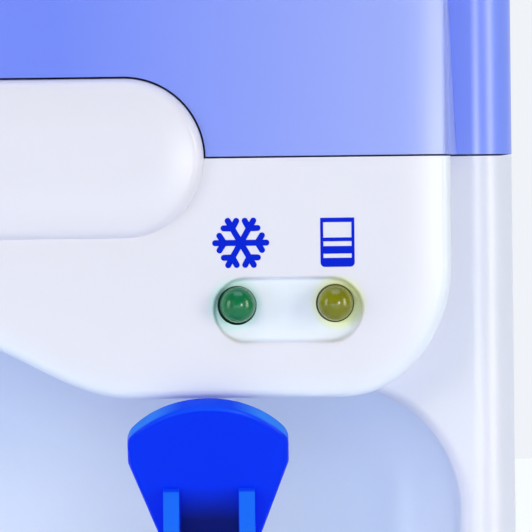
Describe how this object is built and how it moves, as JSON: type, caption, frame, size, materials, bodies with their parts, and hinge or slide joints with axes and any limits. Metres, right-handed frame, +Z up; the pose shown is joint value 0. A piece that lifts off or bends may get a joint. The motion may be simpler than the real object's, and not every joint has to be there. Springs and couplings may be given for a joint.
{
  "type": "countertop water dispenser",
  "caption": "Bottle-fed countertop water dispenser with a blue hood, white body, push-down taps under a projecting head, status lamps and a slide-out drip tray.",
  "frame": {"origin": "on the surface that the feet stand on, at the middle of the plan", "axes": "+Z up, +X to the object's right as seen from the front, -Y out of the front"},
  "size_m": [0.264, 0.34, 0.417],
  "materials": {
    "white_shell": "glossy moulded plastic",
    "blue_hood": "glossy moulded plastic",
    "lever_blue": "glossy moulded plastic",
    "black_plastic": "fine matte",
    "natural_plastic": "natural polypropylene",
    "rubber": "matte",
    "silicone": "translucent silicone",
    "foam": "expanded foam",
    "steel": "brushed",
    "aluminium": "extruded",
    "ceramic": "ceramic plates",
    "circuit_board": "solder mask",
    "green_lens": "tinted lens",
    "yellow_lens": "tinted lens"
  },
  "bodies": {
    "root": {"front_fascia": "white_shell", "top_hood": "blue_hood", "cabinet_shell": "white_shell", "rear_panel": "white_shell", "rear_screw_left": "steel", "rear_screw_right": "steel", "base_plate": "white_shell", "foot_front_left": "rubber", "foot_front_right": "rubber", "foot_rear_left": "rubber", "foot_rear_right": "rubber", "lens_green": "green_lens", "lens_yellow": "yellow_lens", "indicator_board": "circuit_board", "cold_tap_body": "white_shell", "cold_tap_gasket": "rubber", "cold_tap_nut": "natural_plastic", "cold_bonnet": "white_shell", "cold_lever_pin": "steel", "cold_valve_spring": "steel", "ambient_tap_body": "white_shell", "ambient_tap_gasket": "rubber", "ambient_tap_nut": "natural_plastic", "ambient_bonnet": "white_shell", "ambient_lever_pin": "steel", "ambient_valve_spring": "steel", "reservoir": "natural_plastic", "lid_gasket": "silicone", "reservoir_lid": "natural_plastic", "reservoir_baffle": "natural_plastic", "level_stem": "natural_plastic", "foam_jacket": "foam", "cold_block": "aluminium", "thermoelectric_module": "ceramic", "heat_sink": "aluminium", "fan_frame": "black_plastic", "cold_tube": "silicone", "ambient_tube": "silicone", "drain_tube": "silicone", "drain_fitting": "white_shell", "power_supply": "steel", "inlet_socket": "black_plastic", "switch_bezel": "black_plastic"},
    "cold_lever": {"cold_lever": "lever_blue"},
    "cold_stem": {"cold_valve_stem": "natural_plastic", "cold_valve_seal": "silicone"},
    "ambient_lever": {"ambient_lever": "lever_blue"},
    "ambient_stem": {"ambient_valve_stem": "natural_plastic", "ambient_valve_seal": "silicone"},
    "drip_tray": {"drip_tray": "white_shell"},
    "drip_grille": {"drip_grille": "lever_blue"},
    "bottle_collar": {"bottle_collar": "white_shell", "bottle_probe": "white_shell", "collar_gasket": "silicone"},
    "level_float": {"level_float": "silicone"},
    "fan_rotor": {"fan_rotor": "black_plastic"},
    "switch_rocker": {"switch_rocker": "black_plastic"},
    "drain_cap": {"drain_cap": "blue_hood"}
  },
  "joints": [
    {"name": "cold_lever_hinge", "type": "hinge", "parent": "root", "child": "cold_lever", "pos_m": [0.0623, -0.132, 0.2338], "axis": [1, 0, 0], "range_deg": [0, 32], "stiffness_Nm_per_rad": 0.25},
    {"name": "cold_stem_slide", "type": "slide", "parent": "root", "child": "cold_stem", "axis": [0, 0, 1], "range_m": [0, 0.0042], "deforming": ["cold_valve_spring"]},
    {"name": "ambient_lever_hinge", "type": "hinge", "parent": "root", "child": "ambient_lever", "pos_m": [-0.0623, -0.132, 0.2338], "axis": [1, 0, 0], "range_deg": [0, 32], "stiffness_Nm_per_rad": 0.25},
    {"name": "ambient_stem_slide", "type": "slide", "parent": "root", "child": "ambient_stem", "axis": [0, 0, 1], "range_m": [0, 0.0042], "deforming": ["ambient_valve_spring"]},
    {"name": "drip_tray_slide", "type": "slide", "parent": "root", "child": "drip_tray", "axis": [0, -1, 0], "range_m": [0, 0.09]},
    {"name": "drip_grille_lift", "type": "slide", "parent": "drip_tray", "child": "drip_grille", "axis": [0, 0, 1], "range_m": [0, 0.03]},
    {"name": "bottle_collar_lift", "type": "slide", "parent": "root", "child": "bottle_collar", "axis": [0, 0, 1], "range_m": [0, 0.06]},
    {"name": "level_float_slide", "type": "slide", "parent": "root", "child": "level_float", "axis": [0, 0, 1], "range_m": [-0.038, 0]},
    {"name": "fan_spin", "type": "hinge", "parent": "root", "child": "fan_rotor", "pos_m": [0, 0.1265, 0.285], "axis": [0, 1, 0], "continuous": true},
    {"name": "switch_rock", "type": "hinge", "parent": "root", "child": "switch_rocker", "pos_m": [0.024, 0.154, 0.057], "axis": [1, 0, 0], "range_deg": [-8, 8]},
    {"name": "drain_cap_slide", "type": "slide", "parent": "root", "child": "drain_cap", "axis": [0, 1, 0], "range_m": [0, 0.015]}
  ],
  "couplings": [
    {"joint": "cold_stem_slide", "follows": "cold_lever_hinge", "m_per_rad": 0.0072},
    {"joint": "ambient_stem_slide", "follows": "ambient_lever_hinge", "m_per_rad": 0.0072}
  ]
}
